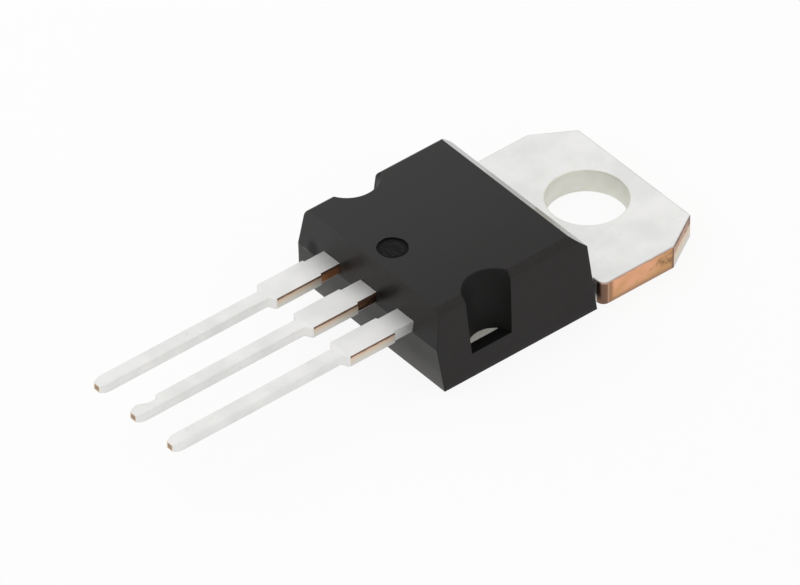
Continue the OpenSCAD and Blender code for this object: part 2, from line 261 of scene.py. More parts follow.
def cut_copper(name, heights=ANY_HEIGHT, *, stains, smear_share=NO_SHARE, burr_share=NO_SHARE,
               colours=(COPPER_BRIGHT, COPPER_DULL), bands=(), foot_share=0.06, burr=COPPER_BURR_AND_SHADE):
    """Sheared metal, whose colour goes by the share of the way between two heights.

    Below smear_share lies smeared tin that turns from grey to beige, above it bare copper mottled
    by noise, and above 1 - burr_share burr. These limits waver by noise. The copper is darker
    below foot_share, and stained in more places the higher stains is. Each of the bands is a
    stretch of Y in millimetres, the width of its soft edges, and its colour.
    """
    material, shader, add = surface_material(name, {"Metallic": 1.0})
    place = add("SeparateXYZ", Vector=add("TexCoord").outputs["Object"])
    share = add("MapRange", {"clamp": False}, Value=place.outputs["Z"],
                **{"From Min": heights[0] * MM, "From Max": heights[1] * MM}).outputs[0]
    ragged = noise(add, size=0.22, detail=4, stretch=(0.5, 0.5, 1))
    waver = add("MapRange", Value=ragged, **{"To Min": -WAVER, "To Max": WAVER}).outputs[0]
    wavy = add("Math", {"operation": "ADD"}, i0=share, i1=waver).outputs[0]

    handled = add("MapRange", Value=place.outputs["Y"], **{
        "From Min": HANDLED_FROM * MM, "From Max": HANDLED_TO * MM,
        "To Max": HANDLED_SHARE}).outputs[0]
    mottling = noise(add, size=0.9, detail=4, stretch=(1, 0.6, 1))
    mottled = add("Math", {"operation": "ADD"}, i0=mottling, i1=handled).outputs[0]
    copper = blend_colours(add, mottled, *colours, low=0.3, high=0.7)
    patches = noise(add, size=0.35, detail=5, roughness=0.7, stretch=(1, 0.7, 1))
    darkened = add("Math", {"operation": "ADD"}, i0=patches, i1=handled).outputs[0]
    copper = blend_colours(add, darkened, copper, COPPER_STAIN,
                           low=STAIN_LEAST - stains, high=STAIN_MOST - stains)
    copper = blend_colours(add, share, COPPER_FOOT, copper, low=foot_share / 3, high=foot_share)
    for start, end, soft, tint in bands:
        half = (end - start) / 2 * MM
        off = add("Math", {"operation": "SUBTRACT"},
                  i0=place.outputs["Y"], i1=start * MM + half).outputs[0]
        distance = add("Math", {"operation": "ABSOLUTE"}, i0=off).outputs[0]
        copper = blend_colours(add, distance, tint, copper, low=half, high=half + soft * MM)

    smear = blend_colours(add, wavy, SMEAR_GREY, SMEAR_BEIGE,
                          low=smear_share - SMEAR_GREYEST, high=smear_share - SMEAR_LIGHTEST)
    colour = blend_colours(add, wavy, smear, copper,
                           low=smear_share - SMEAR_SOFT, high=smear_share + SMEAR_SOFT)
    colour = blend_colours(add, wavy, colour, burr,
                           low=1 - burr_share, high=1 - burr_share + BURR_SOFT)
    drag = noise(add, size=0.09, detail=3, stretch=(1, 1, 0.25))
    lay_on(shader, add, colour, roughness=(mottling, 0.34, 0.55), relief=(drag, 0.5, 0.008))
    return material


# Tab, heat spreader and middle lead: one stamped piece of tinned copper in two thicknesses. The
# tab narrows to the spreader inside the body, whose back is coined in so that the moulding holds
# it. The middle lead rises from the spreader to its neighbours' level and ends in a nicked tip.
TAB_HALF, TAB_THICK, HOLE_RADIUS, FREE_END = 5.06, 1.25, 1.9, 2.78
CHAMFER_X, CHAMFER_Y = 1.2, 2.0
SHOULDER_Y, SHOULDER_RADIUS = -3.40, 0.38
SPREADER_HALF, SPREADER_END = 4.36, -10.60
SPREADER_CORNER, NECK_CORNER, CHAMFER_CORNER = 0.2, 0.08, 0.12
LOCK_START, LOCK_DEPTH, LOCK_HEIGHT = -4.23, 0.5, 0.55
TOP_ROLL, FOOT_ROLL, HOLE_ROLL = 0.06, 0.03, 0.07
# How finely the outline and its roundings are divided, how far in the top's last row lies, how
# many steps of a rolled edge count as wall, and how far past a limit or near the end a face lies.
OUTLINE_STEP, BEND_POINTS, ROLL_POINTS = 0.14, 7, 5
BORDER_DEPTH, BARE_ROLL_STEPS, SIDE_MARGIN, END_MARGIN = 0.45, 2, 0.1, 0.05

LEAD_FLOOR, LEAD_THICK = 2.37, 0.57
LEAD_EDGE, NARROW_EDGE, EDGE_POINTS = 0.04, 0.10, 4
BODY_FRONT, LEAD_LENGTH = -12.7575, 13.24
TIP_Y = BODY_FRONT - LEAD_LENGTH
STUB_HALF, TIE_HALF, LEAD_HALF = 0.58, 0.68, 0.35
TIE_START, TIE_END = BODY_FRONT - 1.05, BODY_FRONT - 3.60
STEP_LENGTH, LEAD_ROOT = 0.24, 0.6
# The narrow lead's plain stretch starts at a distance from the tie bar. The other three are
# distances from the tip.
PLAIN_START, PLAIN_END, NICKED_START, NICKED_END = 1, 2, 1.75, 0.54
SHOULDER_STATIONS, PLAIN_STATIONS, NICKED_STATIONS, TIP_STATIONS = 7, 5, 24, 10
TIP_LENGTH, TIP_HALF, TIP_THICK, TIP_RIM, TIP_CORNER = 0.5, 0.20, 0.36, 0.055, 0.03
NICK_START, NICK_FOOT, NICK_END, NICK_STEEP, NICK_DEPTH = 0.35, 1.0, 1.53, 0.12, 0.235
RAMP_ANGLE, BEND_RADIUS, BEND_STATIONS = math.radians(60), 0.42, 8
SPREADER_OVERLAP, FLAT_RUN, RAMP_CLEAR = 0.5, 0.08, 0.2
# Two rows of points CREASE apart keep a crease sharp, and HAIR is a tolerance. Faces that meet at
# more than SHARP_ANGLE degrees shade apart. The sides of a lead are numbered as strip() does.
CREASE, HAIR, SHARP_ANGLE = 0.02, 0.01, 35
AROUND = 4 * EDGE_POINTS
RIGHT_SIDE, LEFT_SIDE = 0, 2
FROST_LIGHT, FROST_DULL = (0.80, 0.79, 0.71, 1), (0.68, 0.67, 0.60, 1)
(PLATED, TAB_CUT, CHAMFER_CUT, TIE_CUT, TIP_CUT, STUB_CUT, DULL, SHELTERED, TIP_EDGE,
 END_CUT, ROLLED, SHADED_STUB_CUT, NECK_CUT) = range(13)


def arc(centre, radius, start, stop, count):
    """Points on a circle: centre plus radius times (cosine, sine) of evenly spread angles."""
    angles = np.linspace(start, stop, count)
    return np.asarray(centre) + radius * np.c_[np.cos(angles), np.sin(angles)]


def rounded_outline(corners, radii, step):
    """Closed outline through corners given anticlockwise, each one turned into an arc.

    An arc of radius r that touches both sides starts r times the tangent of half the turn
    before the corner. Straight sides are cut into equal pieces no longer than step.
    """
    corners = np.asarray(corners, float)
    before = corners - np.roll(corners, 1, axis=0)
    after = np.roll(before, -1, axis=0)
    heading_in = np.arctan2(before[:, 1], before[:, 0])
    turn = np.arctan2(after[:, 1], after[:, 0]) - heading_in
    turn = (turn + np.pi) % (2 * np.pi) - np.pi
    reach = np.abs(np.tan(turn / 2)) * radii
    along_in = before / np.linalg.norm(before, axis=1, keepdims=True)
    starts = corners - along_in * reach[:, None]
    pieces = []
    for i in range(len(corners)):
        side = np.sign(turn[i])
        centre = starts[i] + side * radii[i] * np.array((-along_in[i, 1], along_in[i, 0]))
        first = heading_in[i] - side * np.pi / 2
        bend = arc(centre, radii[i], first, first + turn[i], BEND_POINTS)
        ahead = (i + 1) % len(corners)
        run = starts[ahead] - bend[-1]
        cuts = max(1, int(np.ceil(np.linalg.norm(run) / step)))
        straight = bend[-1] + run * np.linspace(0, 1, cuts, endpoint=False)[1:, None]
        pieces += [bend, straight]
    return np.concatenate(pieces)


def outward_normals(outline):
    """Unit normals to the right of an anticlockwise outline, from its neighbouring points."""
    tangent = np.roll(outline, -1, axis=0) - np.roll(outline, 1, axis=0)
    normal = np.c_[tangent[:, 1], -tangent[:, 0]]
    return normal / np.linalg.norm(normal, axis=1, keepdims=True)


def loop_faces(rings, around, closed):
    """Quads between neighbouring rings of points, each ring closed on itself.

    Rings is how many there are, and closed says that the last one joins the first. Point k of
    ring j has the number j * around + k.
    """
    j = np.arange(rings if closed else rings - 1)[:, None]
    k = np.arange(around)[None, :]
    next_j, next_k = (j + 1) % rings, (k + 1) % around
    quads = np.stack([j * around + k, j * around + next_k,
                      next_j * around + next_k, next_j * around + k], axis=-1)
    return quads.reshape(-1, 4)


def close_ends(points, faces, around):
    """Adds one face over the first and over the last ring of points."""
    return [*faces, np.arange(around)[::-1], np.arange(len(points) - around, len(points))]


def make_piece(name, points, faces, materials, face_materials, sharp_angle=SHARP_ANGLE):
    """Makes a mesh object from points in millimetres, with a material number for every face.

    Faces meeting at less than sharp_angle degrees shade as one smooth surface.
    """
    mesh = bpy.data.meshes.new(name)
    mesh.from_pydata((np.asarray(points) * MM).tolist(), [], [tuple(f) for f in faces])
    for material in materials:
        mesh.materials.append(material)
    mesh.polygons.foreach_set("material_index", np.asarray(face_materials, np.int32))
    mesh.polygons.foreach_set("use_smooth", np.ones(len(mesh.polygons), bool))
    mesh.set_sharp_from_angle(angle=math.radians(sharp_angle))
    mesh.validate()
    piece = bpy.data.objects.new(name, mesh)
    bpy.context.scene.collection.objects.link(piece)
    return piece


def flatten_faces(piece):
    """Lets each flat face keep its own shading right up to its rounded edges."""
    weighted = piece.modifiers.new("flat_faces", "WEIGHTED_NORMAL")
    weighted.keep_sharp = True


def quarter(radius):
    """Distances from two faces along the rounded edge between them.

    The distance from the first face grows from 0 to the radius, and that from the second
    shrinks from the radius to 0.
    """
    angles = np.linspace(0, np.pi / 2, ROLL_POINTS)
    return radius * (1 - np.cos(angles)), radius * (1 - np.sin(angles))


def drawn_in(outline, depth):
    """The outline with the spreader's part scaled down, so that its edges move in by a depth."""
    inner = outline.copy()
    lock = outline[:, 1] < LOCK_START
    inner[lock, 0] *= 1 - depth / SPREADER_HALF
    inner[lock, 1] -= depth * (inner[lock, 1] - LOCK_START) / (LOCK_START - SPREADER_END)
    return inner


def tab_plate():
    """Points, faces and face materials of the tab with its neck and spreader.

    The section runs up the outer wall, across the top to the hole, down the hole and back across
    the foot. Each row of it is the outline moved inwards, or the hole's circle made wider, at
    one height. A point of the circle lies on the ray from the hole's centre to its outline
    point. In the coined part, rows under the lock's height are drawn in by its depth.
    """
    right = [(SPREADER_HALF, SPREADER_END), (SPREADER_HALF, SHOULDER_Y),
             (TAB_HALF, SHOULDER_Y), (TAB_HALF, FREE_END - CHAMFER_Y),
             (TAB_HALF - CHAMFER_X, FREE_END)]
    corners = right + [(-x, y) for x, y in right[::-1]]
    radii = [SPREADER_CORNER, NECK_CORNER, SHOULDER_RADIUS, CHAMFER_CORNER, CHAMFER_CORNER]
    outline = rounded_outline(corners, np.array(radii + radii[::-1]), OUTLINE_STEP)
    normals = outward_normals(outline)
    rays = outline / np.linalg.norm(outline, axis=1, keepdims=True)

    foot_roll = [(inset, up) for up, inset in zip(*quarter(FOOT_ROLL))]
    outer = foot_roll + [(0, LOCK_HEIGHT - HAIR), (0, LOCK_HEIGHT + HAIR)]
    outer += [(inset, TAB_THICK - down) for inset, down in zip(*quarter(TOP_ROLL))]
    border = len(outer)
    outer.append((TOP_ROLL + CREASE, TAB_THICK))
    hole = [(widening, TAB_THICK - down) for down, widening in zip(*quarter(HOLE_ROLL))]
    hole += foot_roll[::-1]

    coined, bordered = drawn_in(outline, LOCK_DEPTH), drawn_in(outline, BORDER_DEPTH)
    rows = []
    for number, (inset, height) in enumerate(outer):
        base = bordered if number == border else coined if height < LOCK_HEIGHT else outline
        rows.append(np.c_[base - normals * inset, np.full(len(outline), height)])
    for widening, height in hole:
        rows.append(np.c_[rays * (HOLE_RADIUS + widening), np.full(len(outline), height)])
    faces = loop_faces(len(rows), len(outline), closed=True)

    row_of_face = np.repeat(np.arange(len(rows)), len(outline))
    middle = np.tile((outline + np.roll(outline, -1, axis=0)) / 2, (len(rows), 1))
    x, y = np.abs(middle[:, 0]), middle[:, 1]
    first_rolled = border - ROLL_POINTS + BARE_ROLL_STEPS
    wall = row_of_face < first_rolled
    kinds = np.full(len(faces), PLATED)
    kinds[wall & (y > SHOULDER_Y) & (x > SPREADER_HALF + SIDE_MARGIN)] = TAB_CUT
    kinds[wall & (y > FREE_END - CHAMFER_Y)] = CHAMFER_CUT
    kinds[wall & (y > FREE_END - END_MARGIN)] = END_CUT
    kinds[wall & (y < SHOULDER_Y - SIDE_MARGIN)] = NECK_CUT
    kinds[(row_of_face >= first_rolled) & (row_of_face < border - 1)] = ROLLED
    kinds[(row_of_face >= len(outer)) & (row_of_face < len(rows) - 1)] = DULL
    kinds[(row_of_face == border - 1) & (y < LOCK_START - SIDE_MARGIN)] = SHELTERED
    return np.concatenate(rows), faces, kinds


def strip(path, tangent, left, right, thick, edge):
    """Points and faces of a flat strip: a rounded rectangle carried along a path.

    Path and tangent are rows of (y, z). At each station the rectangle reaches left to -X, right
    to +X and half its thickness to both sides along the path's normal, and every corner is a
    quarter circle of radius edge. One face closes each end. The last value gives, for each face
    between stations, its side of the rectangle: 0 right, 1 top, 2 left, 3 foot.
    """
    corner_start = np.arange(4)[:, None] * np.pi / 2
    angles = (corner_start + np.linspace(0, np.pi / 2, EDGE_POINTS)).ravel()
    toward_x = np.repeat([1, -1, -1, 1], EDGE_POINTS)
    toward_n = np.repeat([1, 1, -1, -1], EDGE_POINTS)
    reach = np.where(toward_x > 0, right[:, None], -left[:, None])
    edge = edge[:, None]
    across = reach - edge * toward_x + edge * np.cos(angles)
    away = toward_n * (thick[:, None] / 2 - edge) + edge * np.sin(angles)
    normal = np.c_[tangent[:, 1], -tangent[:, 0]]
    points = np.stack([across,
                       path[:, :1] + normal[:, :1] * away,
                       path[:, 1:] + normal[:, 1:] * away], axis=-1).reshape(-1, 3)
    faces = close_ends(points, loop_faces(len(path), AROUND, closed=False), AROUND)
    side = np.tile(np.roll(np.repeat([0, 1, 2, 3], EDGE_POINTS), -1), len(path) - 1)
    return points, faces, side


def lead_stations():
    """Stations of a lead from inside the body to its tip: y, half width, thickness and edge.

    The stub and the wider remains of the tie bar, the shoulder, the narrow lead and the tip
    follow one another. The narrow lead has closer stations where a nick may be. The shoulder is
    half a cosine wave. The bullet-shaped tip narrows with the square of the way along it. A
    last, smaller station in the tip's own plane parts the bare middle of the cut from its rim.
    """
    shoulder = np.linspace(0, 1, SHOULDER_STATIONS)
    taper = np.linspace(0, 1, TIP_STATIONS)
    bullet = np.append(1 - taper ** 2, 0)
    rim = np.append(np.zeros(TIP_STATIONS), TIP_RIM)
    wide = [BODY_FRONT + LEAD_ROOT, TIE_START + CREASE, TIE_START - CREASE, TIE_END]
    narrow = np.concatenate([
        np.linspace(TIE_END - PLAIN_START, TIP_Y + PLAIN_END, PLAIN_STATIONS),
        np.linspace(TIP_Y + NICKED_START, TIP_Y + NICKED_END, NICKED_STATIONS)])
    y = np.concatenate([wide, TIE_END - CREASE - STEP_LENGTH * shoulder, narrow,
                        TIP_Y + TIP_LENGTH * (1 - taper), [TIP_Y]])
    half = np.concatenate([
        [STUB_HALF, STUB_HALF, TIE_HALF, TIE_HALF],
        LEAD_HALF + (TIE_HALF - LEAD_HALF) * (1 + np.cos(np.pi * shoulder)) / 2,
        np.full(len(narrow), LEAD_HALF),
        TIP_HALF + (LEAD_HALF - TIP_HALF) * bullet - rim])
    thick = np.concatenate([
        np.full(len(y) - len(bullet), LEAD_THICK),
        TIP_THICK + (LEAD_THICK - TIP_THICK) * bullet - 2 * rim])
    edge = np.concatenate([
        np.full(len(wide), LEAD_EDGE), LEAD_EDGE + (NARROW_EDGE - LEAD_EDGE) * shoulder,
        np.full(len(narrow), NARROW_EDGE),
        TIP_CORNER + (NARROW_EDGE - TIP_CORNER) * bullet - rim / 4])
    return y, half, thick, edge


def lead_face_kinds(y, side, bare_sides):
    """Finish of each face of a lead, and of its two ends.

    The tie bar's sides were sheared last, so both are bare. Of the stub's, those are bare that
    face a neighbour: bare_sides names them as strip() does. The tip is a cut as well.
    """
    middle = np.repeat((y[:-1] + y[1:]) / 2, AROUND)
    tie = (middle < TIE_START - HAIR) & (middle > TIE_END) & np.isin(side, (RIGHT_SIDE, LEFT_SIDE))
    stub = (middle > TIE_START) & np.isin(side, bare_sides)
    kinds = np.where(tie, TIE_CUT, np.where(stub, STUB_CUT, PLATED))
    kinds[middle < TIP_Y + HAIR] = TIP_EDGE
    return np.concatenate([kinds, [PLATED, TIP_CUT]])


def join_shells(shells):
    """Puts closed shells into one list of points and one of faces, each renumbered to fit."""
    points, faces, kinds, start = [], [], [], 0
    for shell_points, shell_faces, shell_kinds in shells:
        points.append(shell_points)
        faces += [tuple(int(i) + start for i in face) for face in shell_faces]
        kinds.append(shell_kinds)
        start += len(shell_points)
    return np.concatenate(points), faces, np.concatenate(kinds)


def middle_lead():
    """Middle lead: flat on the spreader, up a ramp between two bends, then straight to its tip.

    Its left side is nicked near the tip: smoothly deeper away from the tip, by the cubic that
    eases in and out, then steeply back to the full width.
    """
    level = LEAD_FLOOR + LEAD_THICK / 2
    foot_level = TAB_THICK - LEAD_THICK / 2
    rise = level - foot_level - 2 * BEND_RADIUS * (1 - math.cos(RAMP_ANGLE))
    slope = rise / math.sin(RAMP_ANGLE)
    foot_y = SPREADER_END - FLAT_RUN
    head_y = foot_y - 2 * BEND_RADIUS * math.sin(RAMP_ANGLE) - slope * math.cos(RAMP_ANGLE)
    sweep = np.linspace(0, RAMP_ANGLE, BEND_STATIONS)
    lower = np.c_[foot_y - BEND_RADIUS * np.sin(sweep),
                  foot_level + BEND_RADIUS * (1 - np.cos(sweep))]
    upper = np.c_[head_y + BEND_RADIUS * np.sin(sweep[::-1]),
                  level - BEND_RADIUS * (1 - np.cos(sweep[::-1]))]

    y, half, thick, edge = lead_stations()
    straight = y < head_y - RAMP_CLEAR
    outside = np.c_[y[straight], np.full(straight.sum(), level)]
    path = np.concatenate([[(SPREADER_END + SPREADER_OVERLAP, foot_level)], lower, upper, outside])
    heading = np.concatenate([[0], sweep, sweep[::-1], np.zeros(len(outside))])
    tangent = np.c_[-np.cos(heading), np.sin(heading)]
    inner = len(path) - len(outside)
    half, thick, edge = (
        np.concatenate([np.full(inner, hidden), shown[straight]])
        for hidden, shown in ((STUB_HALF, half), (LEAD_THICK, thick), (LEAD_EDGE, edge)))

    from_tip = path[:, 0] - TIP_Y
    swell = np.clip((from_tip - NICK_START) / (NICK_FOOT - NICK_START), 0, 1)
    nick = NICK_DEPTH * swell ** 2 * (3 - 2 * swell)
    nick *= np.clip((NICK_END - from_tip) / NICK_STEEP, 0, 1)
    points, faces, side = strip(path, tangent, half - nick, half, thick, edge)
    kinds = lead_face_kinds(path[:, 0], side, (RIGHT_SIDE, LEFT_SIDE))
    # Its bare stub sides sit in the shadow beside the body: painted shade, as near-black copper.
    kinds[kinds == STUB_CUT] = SHADED_STUB_CUT
    return points, faces, kinds


def sheltered_tin():
    """The tin that the moulding covered: frosted, so it is lighter than its dark surroundings."""
    material, shader, add = surface_material("sheltered_tin", {"Metallic": 0.2, "Roughness": 0.7})
    frost = noise(add, size=0.18, detail=3)
    lay_on(shader, add, blend_colours(add, frost, FROST_LIGHT, FROST_DULL, low=0.35, high=0.7))
    return material


TAB_HEIGHTS, LEAD_HEIGHTS = (0, TAB_THICK), (LEAD_FLOOR, LEAD_FLOOR + LEAD_THICK)
# Painted shade over the shoulder's rounding, where the side turns away towards the body, a dark and
# a light streak beside it, and darker bands at both ends of the chamfer.
SIDE_END = FREE_END - CHAMFER_Y
SIDE_BANDS = ((SHOULDER_Y - 1, SHOULDER_Y + 0.17, 0.60, COPPER_BURR_AND_SHADE),
              (SHOULDER_Y + 0.43, SHOULDER_Y + 0.54, 0.08, STREAK_DARK),
              (SHOULDER_Y + 0.345, SHOULDER_Y + 0.365, 0.035, STREAK_LIGHT),
              (SIDE_END - 0.01, SIDE_END + 0.03, 0.17, COPPER_BURR_AND_SHADE))
CHAMFER_BANDS = ((FREE_END, FREE_END + 0.2, 0.6, COPPER_BURR_AND_SHADE),)
frame_finishes = [
    tin,
    cut_copper("tab_copper", TAB_HEIGHTS, burr_share=0.10, stains=0.33, bands=SIDE_BANDS,
               foot_share=0.24, burr=SOFT_BURR),
    cut_copper("tab_chamfer", TAB_HEIGHTS, smear_share=0.60, burr_share=0.10, stains=0.26,
               colours=(CHAMFER_BRIGHT, CHAMFER_DULL), bands=CHAMFER_BANDS),
    cut_copper("tie_copper", LEAD_HEIGHTS, smear_share=0.80, burr_share=0.13, stains=0.3,
               colours=(TIE_BRIGHT, TIE_DULL)),
    cut_copper("tip_copper", stains=0.2, colours=(CUT_BROWN, CUT_TAN)),
    # The stubs' bare copper is darker than the tab's: bare copper with painted shade beside the
    # body on top of it.
    cut_copper("stub_copper", LEAD_HEIGHTS, smear_share=0.06, burr_share=0.22, stains=0.40,
               colours=(STUB_BRIGHT, STUB_DULL)),
    dull_tin,
    sheltered_tin(),
    cut_copper("tip_edge", stains=0.1, colours=(CUT_BEIGE, SMEAR_BEIGE)),
    cut_copper("end_copper", TAB_HEIGHTS, smear_share=0.3, burr_share=0.10, stains=0.20),
    edge_shade_tin,
    cut_copper("shaded_stub_copper", LEAD_HEIGHTS, smear_share=0.06, burr_share=0.30, stains=0.45,
               colours=(COPPER_SHADE_BRIGHT, COPPER_SHADE_DULL)),
    # The neck's walls, seen in the gap behind the body, get the same near-black copper: painted
    # shade.
    cut_copper("neck_copper", TAB_HEIGHTS, burr_share=0.10, stains=0.45,
               colours=(COPPER_SHADE_BRIGHT, COPPER_SHADE_DULL)),
]

tab_points, tab_faces, tab_kinds = join_shells([tab_plate(), middle_lead()])
heat_tab = make_piece("tab_with_middle_lead", tab_points, tab_faces, frame_finishes, tab_kinds)
flatten_faces(heat_tab)
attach(heat_tab, "root")
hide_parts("heat_tab")


# Outer leads: stamped from the same tinned strip as the middle lead, whose twins they are outside.
# Inside the body one has a small post for the gate's wire, and one a wider post for the source's.
PITCH = 2.54
POST_LENGTH, POST_WALL = 1.15, 0.7
GATE_POST, SOURCE_POST = 2.0, 2.6


def outer_lead(centre_x, post_width, bare_side):
    """A straight lead whose stations start with the post inside the body, as wide as given."""
    y, half, thick, edge = lead_stations()
    post_start = BODY_FRONT + POST_WALL
    y = np.concatenate([[post_start + POST_LENGTH, post_start + CREASE, post_start], y])
    half = np.concatenate([[post_width / 2, post_width / 2, STUB_HALF], half])
    thick = np.append(np.full(len(y) - len(thick), LEAD_THICK), thick)
    edge = np.append(np.full(len(y) - len(edge), LEAD_EDGE), edge)
    path = np.c_[y, np.full(len(y), LEAD_FLOOR + LEAD_THICK / 2)]
    tangent = np.tile([-1.0, 0.0], (len(y), 1))
    points, faces, side = strip(path, tangent, half, half, thick, edge)
    points[:, 0] += centre_x
    return points, faces, lead_face_kinds(y, side, (bare_side,))


for node, centre_x, post_width, bare_side in (("gate_lead", -PITCH, GATE_POST, RIGHT_SIDE),
                                              ("source_lead", PITCH, SOURCE_POST, LEFT_SIDE)):
    lead_points, lead_faces, lead_kinds = outer_lead(centre_x, post_width, bare_side)
    lead = make_piece("outer_" + node, lead_points, lead_faces, frame_finishes, lead_kinds)
    flatten_faces(lead)
    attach(lead, "root")
    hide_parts(node)


# Moulded body: black epoxy compound moulded round the frame. All faces are drafted away from the
# parting line at the leads' underside, pins that clamped the frame left a round notch in each
# side, and an ejector pin left a rough round mark on the front face.
BODY_HALF, BODY_REAR, BODY_TOP, PARTING = 5.06, -3.68, 4.4, 2.37
BODY_SEAT = 0.015
SIDE_DRAFT, REAR_DRAFT, FRONT_DRAFT, LOWER_DRAFT = np.tan(np.radians((5.7, 5.1, 7.5, 6.2)))
REAR_CHAMFER_DOWN, REAR_CHAMFER_ALONG = 0.80, 0.83
BEVEL_DOWN, BEVEL_ACROSS, BEVEL_POWER, BEVEL_ROWS = 0.45, 0.35, 1.5, 11
CORNER_RADIUS, LEAST_CORNER, EDGE_RADIUS, FOOT_EDGE = 0.03, 0.01, 0.006, 0.02
# Heights of rings between the creases, and the points that each stretch of a ring has.
LOWER_ROWS, UPPER_ROWS, CHAMFER_ROW = (0.4, 0.8), (2.8, 3.2), 3.78
END_POINTS, SIDE_POINTS, REAR_SIDE_POINTS, CORNER_POINTS, BOW_POINTS = 30, 12, 32, 8, 33
NOTCH_X, NOTCH_Y = 5.12, -9.70
NOTCH_FLOOR, NOTCH_RADIUS, NOTCH_RIM, NOTCH_MOUTH = 1.238, 1.16, 1.36, 1.56
NOTCH_ROWS, NOTCH_LEDGE = 5, 0.05
MARK_Y, MARK_RADIUS, MARK_DEPTH, MARK_RISE, MARK_RIM = -11.30, 0.72, 0.08, 0.035, 0.2
MARK_POINTS, MARK_RINGS, GROOVE_START, GROOVE_SLOPE, CUT_ABOVE = 64, 12, 0.84, 0.12, 0.1
RIM_WAVES = ((0.012, 5, 0), (0.008, 11, 1))
STREAK_WAVES = ((0.012, 9, 21, 0), (0.008, -13, 31, 2))
BODY_SHARP_ANGLE = 28
# Tolerances for the place of a face: from a wall, and from one height.
NEAR_WALL, LEVEL = 0.03, 0.001
MOULDED, NOTCH_WALL, NOTCH_BOTTOM, REAR_CHAMFER, SIDE, LOWER_FRONT, BEVEL = range(7)
UPPER_DARK, UPPER_LIGHT = (0.0160, 0.0148, 0.0146, 1), (0.0290, 0.0270, 0.0265, 1)
UPPER_SHADE, UPPER_PALE = (0.0142, 0.0130, 0.0126, 1), (0.0275, 0.0265, 0.0260, 1)
BEVEL_DARK, BEVEL_LIGHT = (0.0150, 0.0137, 0.0130, 1), (0.0270, 0.0248, 0.0238, 1)
LOWER_DARK, LOWER_LIGHT = (0.022, 0.0218, 0.0202, 1), (0.039, 0.0388, 0.036, 1)
NOTCH_DARK, NOTCH_LIGHT = (0.008, 0.0075, 0.0072, 1), (0.013, 0.0125, 0.012, 1)
SIDE_DARK, SIDE_LIGHT = (0.0100, 0.0086, 0.0082, 1), (0.0185, 0.0160, 0.0152, 1)
CHAMFER_DARK, CHAMFER_LIGHT = (0.05, 0.047, 0.046, 1), (0.08, 0.076, 0.074, 1)
FOOT_COLOUR = (0.085, 0.083, 0.079, 1)
# This dark is the pin mark's own colour, and also painted shade on the notch floor, under the
# parting line and round the mark's rim.
MARK_AND_SHADE_DARK, TORN_LIGHT = (0.0035, 0.003, 0.0028, 1), (0.0145, 0.0132, 0.0128, 1)
DEEP_SHADOW, THIN_SHADOW = (0.0012, 0.0011, 0.001, 1), (0.0045, 0.0042, 0.004, 1)
FAINT_SHADOW = (0.010, 0.0093, 0.009, 1)
PARTING_HIGHLIGHT = (0.11, 0.108, 0.103, 1)
ROUGHNESS_SPREAD = 0.12
# Painted shadows by the leads' roots and a painted highlight on the parting line, on the front
# face:
# centre, half sizes, tilt and colour of each. The core is the share of a blot that has its full
# colour.
BLOT_CORE, STREAK_TILT = 0.3, math.radians(44)
FRONT_BLOTS = (((-3.80, -12.73, 2.62), (0.50, 0.5, 0.62), 0, DEEP_SHADOW),
               ((-4.30, -12.75, 2.33), (0.30, 0.3, 0.045), 0, PARTING_HIGHLIGHT),
               ((-1.45, -12.65, 3.17), (0.60, 0.5, 0.34), STREAK_TILT, THIN_SHADOW),
               ((-0.92, -12.60, 3.66), (1.15, 0.6, 0.38), STREAK_TILT, FAINT_SHADOW),
               ((1.02, -12.65, 3.16), (0.70, 0.5, 0.42), STREAK_TILT, DEEP_SHADOW),
               ((1.42, -12.60, 3.52), (1.10, 0.6, 0.40), STREAK_TILT, THIN_SHADOW))


def soft_bevel(z):
    """Share of the top bevel's width at a height, as a quarter of a superellipse.

    With t as the share of the bevel's height, it is 1 - (1 - t^p)^(1/p).
    """
    share = np.clip((z - (BODY_TOP - BEVEL_DOWN)) / BEVEL_DOWN, 0, 1)
    return 1 - (1 - share ** BEVEL_POWER) ** (1 / BEVEL_POWER)


def body_half_width(z):
    """Half width at a height: side draft all the way, and the soft side bevel near the top."""
    return BODY_HALF - SIDE_DRAFT * z - soft_bevel(z) * (BEVEL_ACROSS - SIDE_DRAFT * BEVEL_DOWN)


def body_rear(z):
    """Rear face's place at a height: drafted, and cut back by the chamfer near the top."""
    chamfer = np.clip((z - (BODY_TOP - REAR_CHAMFER_DOWN)) / REAR_CHAMFER_DOWN, 0, 1)
    low = np.minimum(z, BODY_TOP - REAR_CHAMFER_DOWN)
    return BODY_REAR - REAR_DRAFT * low - chamfer * REAR_CHAMFER_ALONG


def body_front(z):
    """Front face's place at a height, drafted both ways from the parting line."""
    draft = np.where(z < PARTING, -LOWER_DRAFT, FRONT_DRAFT)
    return BODY_FRONT + draft * (z - PARTING)


def notch_radius(z):
    """Clamping notch's radius at a height: a slight taper, then a flare through the bevel."""
    taper = np.clip((z - NOTCH_FLOOR) / (BODY_TOP - BEVEL_DOWN - NOTCH_FLOOR), 0, 1)
    return (NOTCH_RADIUS + (NOTCH_RIM - NOTCH_RADIUS) * taper
            + (NOTCH_MOUTH - NOTCH_RIM) * soft_bevel(z))


def even_line(start, stop, count):
    """Points that divide a straight stretch evenly, with its first point and not its last."""
    share = np.linspace(0, 1, count, endpoint=False)[:, None]
    return np.asarray(start) + share * (np.asarray(stop) - np.asarray(start))


